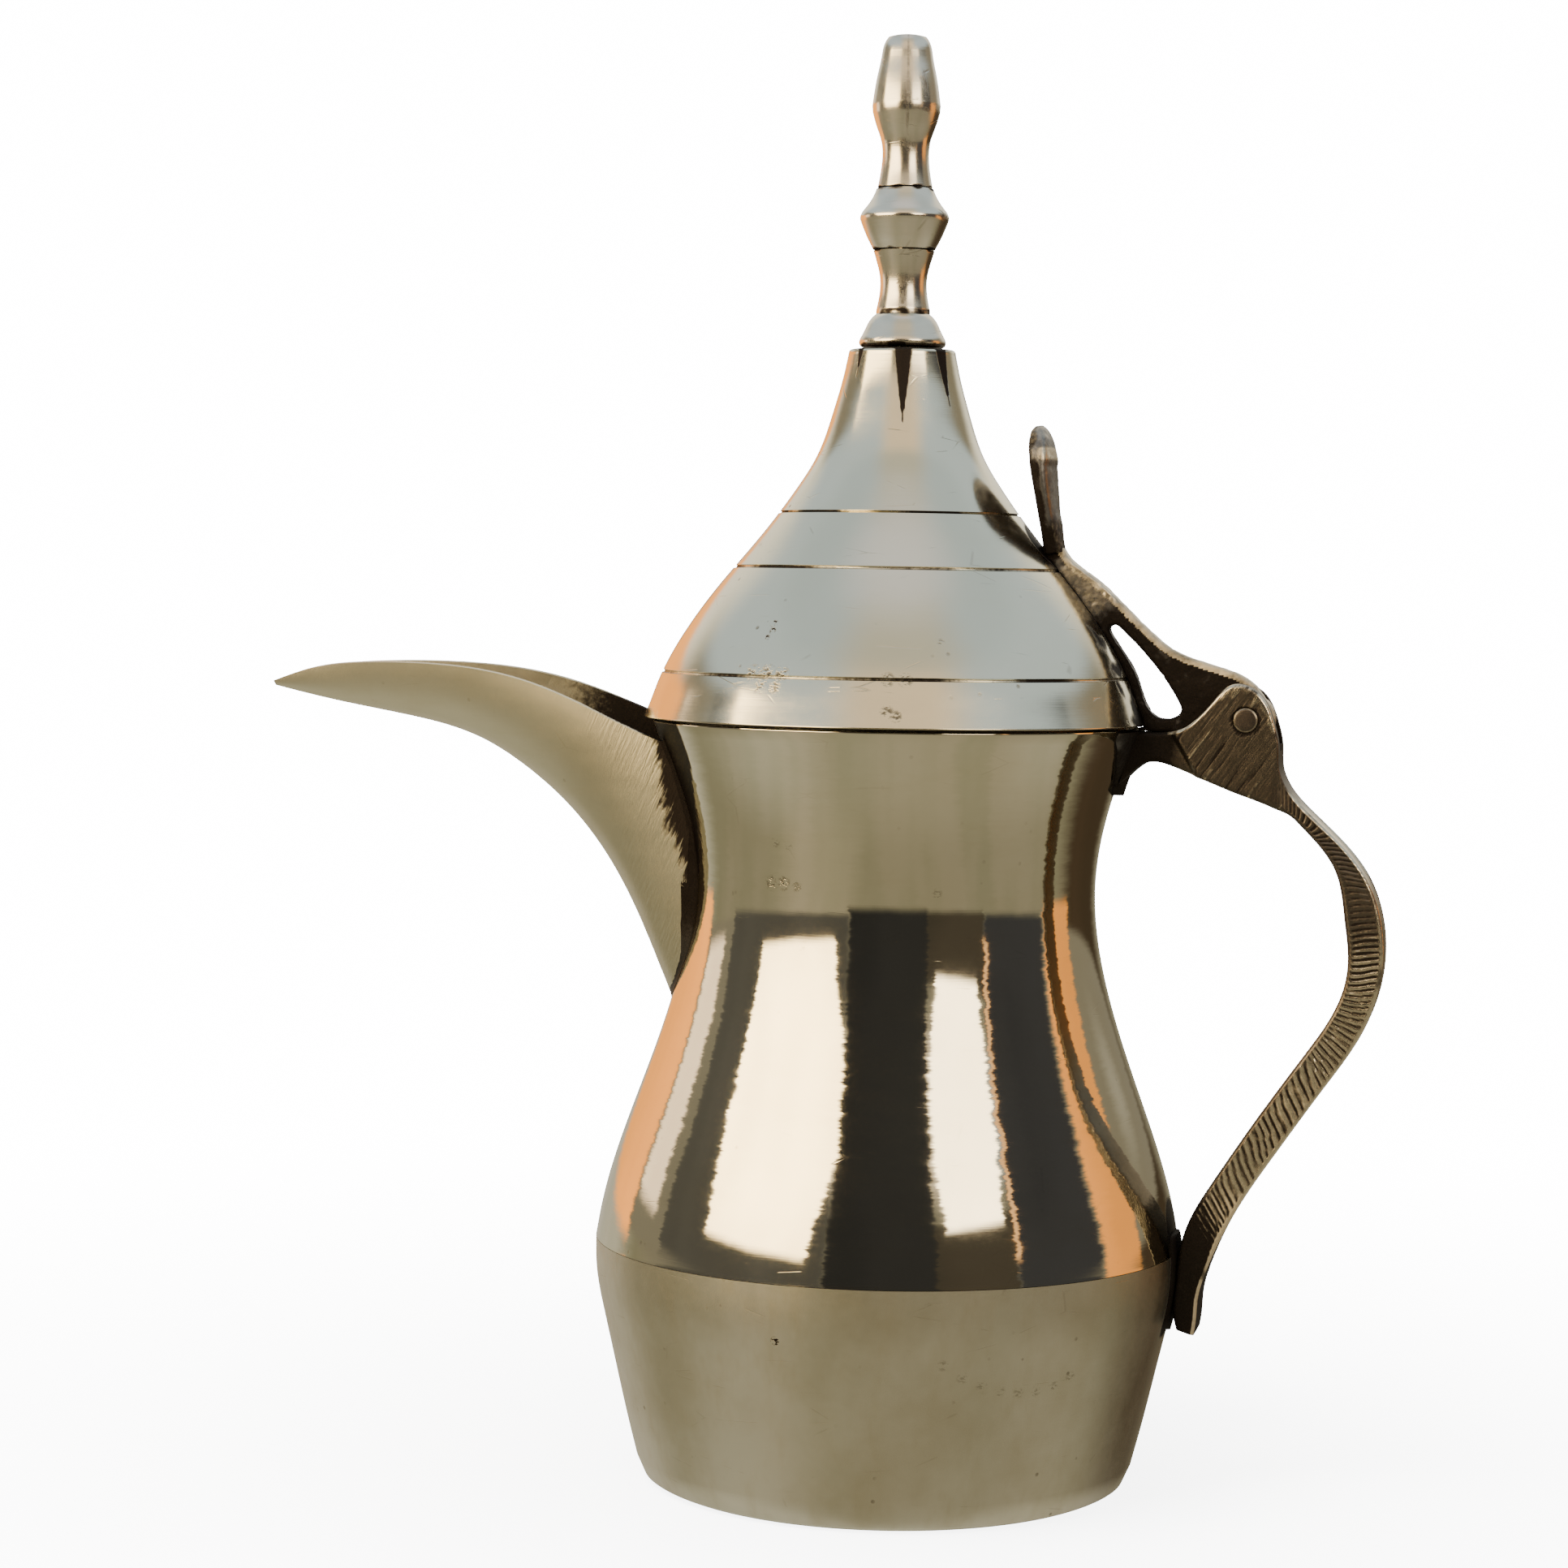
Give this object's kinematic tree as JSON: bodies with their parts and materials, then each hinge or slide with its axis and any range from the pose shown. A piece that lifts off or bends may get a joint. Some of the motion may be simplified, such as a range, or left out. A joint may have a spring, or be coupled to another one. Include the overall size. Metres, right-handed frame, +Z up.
{
  "type": "coffee pot",
  "caption": "Spun brass dallah coffee pot with a waisted body, an open beak spout, a cast strap handle and a hinged bell lid topped by a turned finial.",
  "frame": {"origin": "centre of the flat underside of the pot", "axes": "+Z up along the axis of the turned body, -X towards the spout, +X towards the handle, Y across the pot along the lid's hinge pin"},
  "size_m": [0.2229, 0.1138, 0.28],
  "materials": {
    "polished_brass": "worn bright polish with fine scratches",
    "satin_brass": "dull satin",
    "cast_brass": "filed casting, browned",
    "tarnished_cast_brass": "rough casting, dark tarnish",
    "rivet_brass": "filed flush, dark tarnish",
    "solder": "dull dark grey solder",
    "steel": "plain"
  },
  "bodies": {
    "pot": {"body_upper": "polished_brass", "body_lower": "satin_brass", "spout": "satin_brass", "spout_solder": "solder", "handle": "cast_brass", "bracket_solder": "solder", "foot_solder": "solder", "hinge_pin": "rivet_brass"},
    "lid": {"lid_dome": "polished_brass", "lid_collar": "satin_brass", "hinge_arm": "tarnished_cast_brass", "thumb_piece": "tarnished_cast_brass", "finial_base": "polished_brass", "finial_bead": "polished_brass", "finial_bud": "polished_brass", "finial_stud": "steel", "finial_washer": "steel", "finial_nut": "steel"}
  },
  "joints": [
    {"name": "lid_hinge", "type": "hinge", "parent": "pot", "child": "lid", "pos_m": [0.0683, 0, 0.1498], "axis": [0, 1, 0], "range_deg": [0, 110]}
  ]
}
